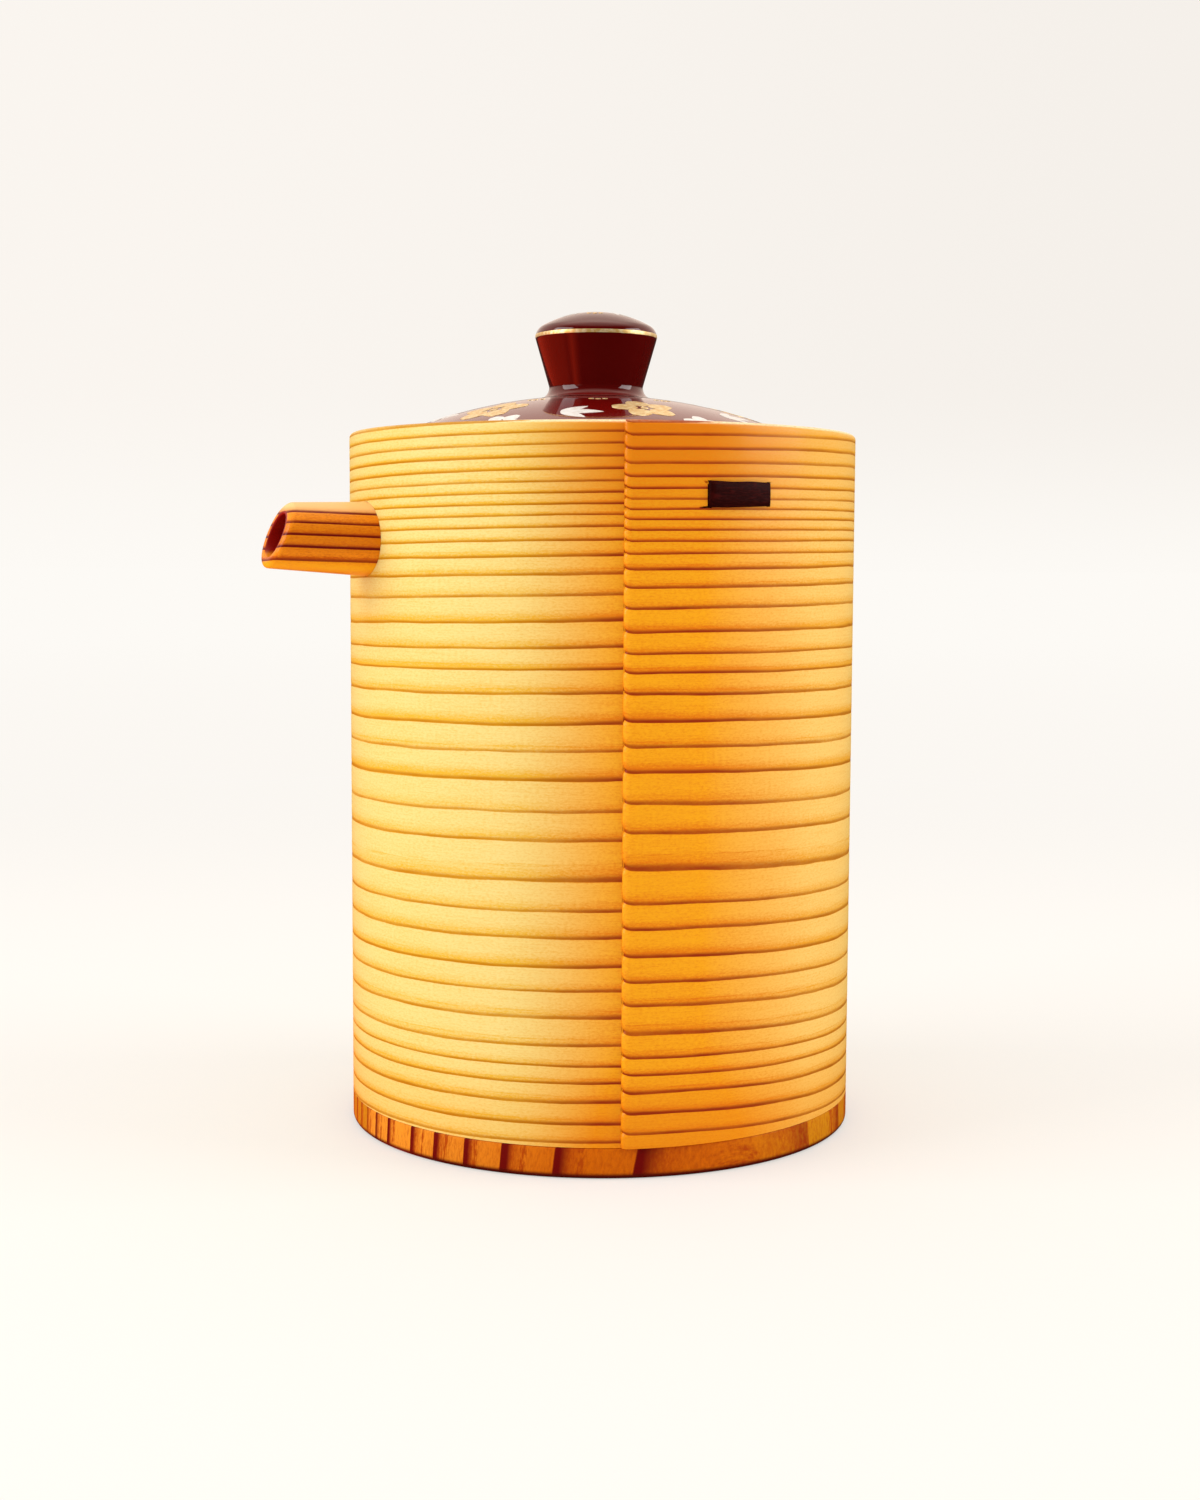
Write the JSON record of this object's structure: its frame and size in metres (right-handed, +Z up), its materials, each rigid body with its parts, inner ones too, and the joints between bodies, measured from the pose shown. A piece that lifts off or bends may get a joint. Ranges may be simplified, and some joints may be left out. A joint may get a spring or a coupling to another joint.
{
  "type": "lidded bentwood caddy with a pouring spout",
  "caption": "Bentwood tea caddy with a lap joint closed by a bark stitch, a straight side spout and a loose domed lid with a flared knob.",
  "frame": {"origin": "centre of the base's resting face, on the body's axis", "axes": "+Z up along the body's axis, -X along the spout, +Y completes a right-handed frame"},
  "size_m": [0.1081, 0.091, 0.1444],
  "materials": {
    "cedar": "straight-grained cedar under a clear satin coat",
    "cherry_bark": "smooth dark cherry bark",
    "cedar_heartwood": "darker cedar heartwood under a clear satin coat",
    "lacquer": "glossy deep maroon lacquer with gold and white ornament"
  },
  "bodies": {
    "vessel": {"side_board": "cedar", "bark_stitch": "cherry_bark", "base_board": "cedar_heartwood", "lid_ledge": "cedar", "spout": "cedar_heartwood"},
    "lid": {"lid": "lacquer", "knob": "lacquer"}
  },
  "joints": [
    {"name": "lid_lift", "type": "slide", "parent": "vessel", "child": "lid", "axis": [0, 0, 1], "range_m": [0, 0.05]}
  ]
}
